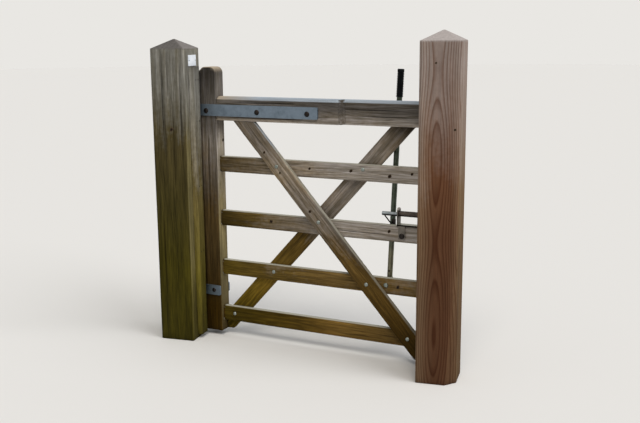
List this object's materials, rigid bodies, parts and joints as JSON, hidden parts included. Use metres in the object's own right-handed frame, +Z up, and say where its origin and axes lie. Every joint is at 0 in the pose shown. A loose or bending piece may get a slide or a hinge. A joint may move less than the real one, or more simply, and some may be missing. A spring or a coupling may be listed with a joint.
{
  "type": "timber bridle gate",
  "caption": "Braced timber bridle gate hung between square posts with weathered pyramid tops, on a double strap hinge, with a tall lever that draws the latch bolt.",
  "frame": {"origin": "centre of the hanging post's foot, at ground level", "axes": "+X along the shut leaf from the hanging post to the shutting post, +Y the side that the leaf opens to, +Z up"},
  "size_m": [1.5692, 0.3138, 1.527],
  "materials": {
    "weathered_post": "sawn softwood, weathered grey green",
    "new_post": "sawn softwood, reddish brown treatment",
    "leaf_timber": "sawn softwood, weathered grey brown",
    "galvanised_steel": "hot dip galvanised, dulled",
    "grip_rubber": "moulded, ribbed",
    "marker_plastic": "plain white, blank"
  },
  "bodies": {
    "posts": {"hanging_post": "weathered_post", "shutting_post": "new_post", "closing_batten": "weathered_post", "marker_plate": "marker_plastic", "top_hook": "galvanised_steel", "bottom_hook": "galvanised_steel", "latch_keeper": "galvanised_steel"},
    "leaf": {"hanging_stile": "leaf_timber", "shutting_stile": "leaf_timber", "top_rail": "leaf_timber", "rail_2": "leaf_timber", "rail_3": "leaf_timber", "rail_4": "leaf_timber", "bottom_rail": "leaf_timber", "front_brace": "leaf_timber", "rear_brace": "leaf_timber", "top_strap": "galvanised_steel", "bottom_band": "galvanised_steel", "latch_bracket": "galvanised_steel", "pivot_bolt": "galvanised_steel"},
    "lever": {"lever_bar": "galvanised_steel", "lever_grip": "grip_rubber", "drive_stud": "galvanised_steel"},
    "bolt": {"latch_bolt": "galvanised_steel"}
  },
  "joints": [
    {"name": "gate_hinge", "type": "hinge", "parent": "posts", "child": "leaf", "pos_m": [0.082, 0.119, 0], "axis": [0, 0, 1], "range_deg": [0, 90]},
    {"name": "lever_pivot", "type": "hinge", "parent": "leaf", "child": "lever", "pos_m": [1.0728, 0.1315, 0.364], "axis": [0, -1, 0], "range_deg": [0, 6.89]},
    {"name": "bolt_slide", "type": "slide", "parent": "leaf", "child": "bolt", "axis": [-1, 0, 0], "range_m": [0, 0.0322]}
  ],
  "couplings": [
    {"joint": "bolt_slide", "follows": "lever_pivot", "m_per_rad": 0.266}
  ]
}
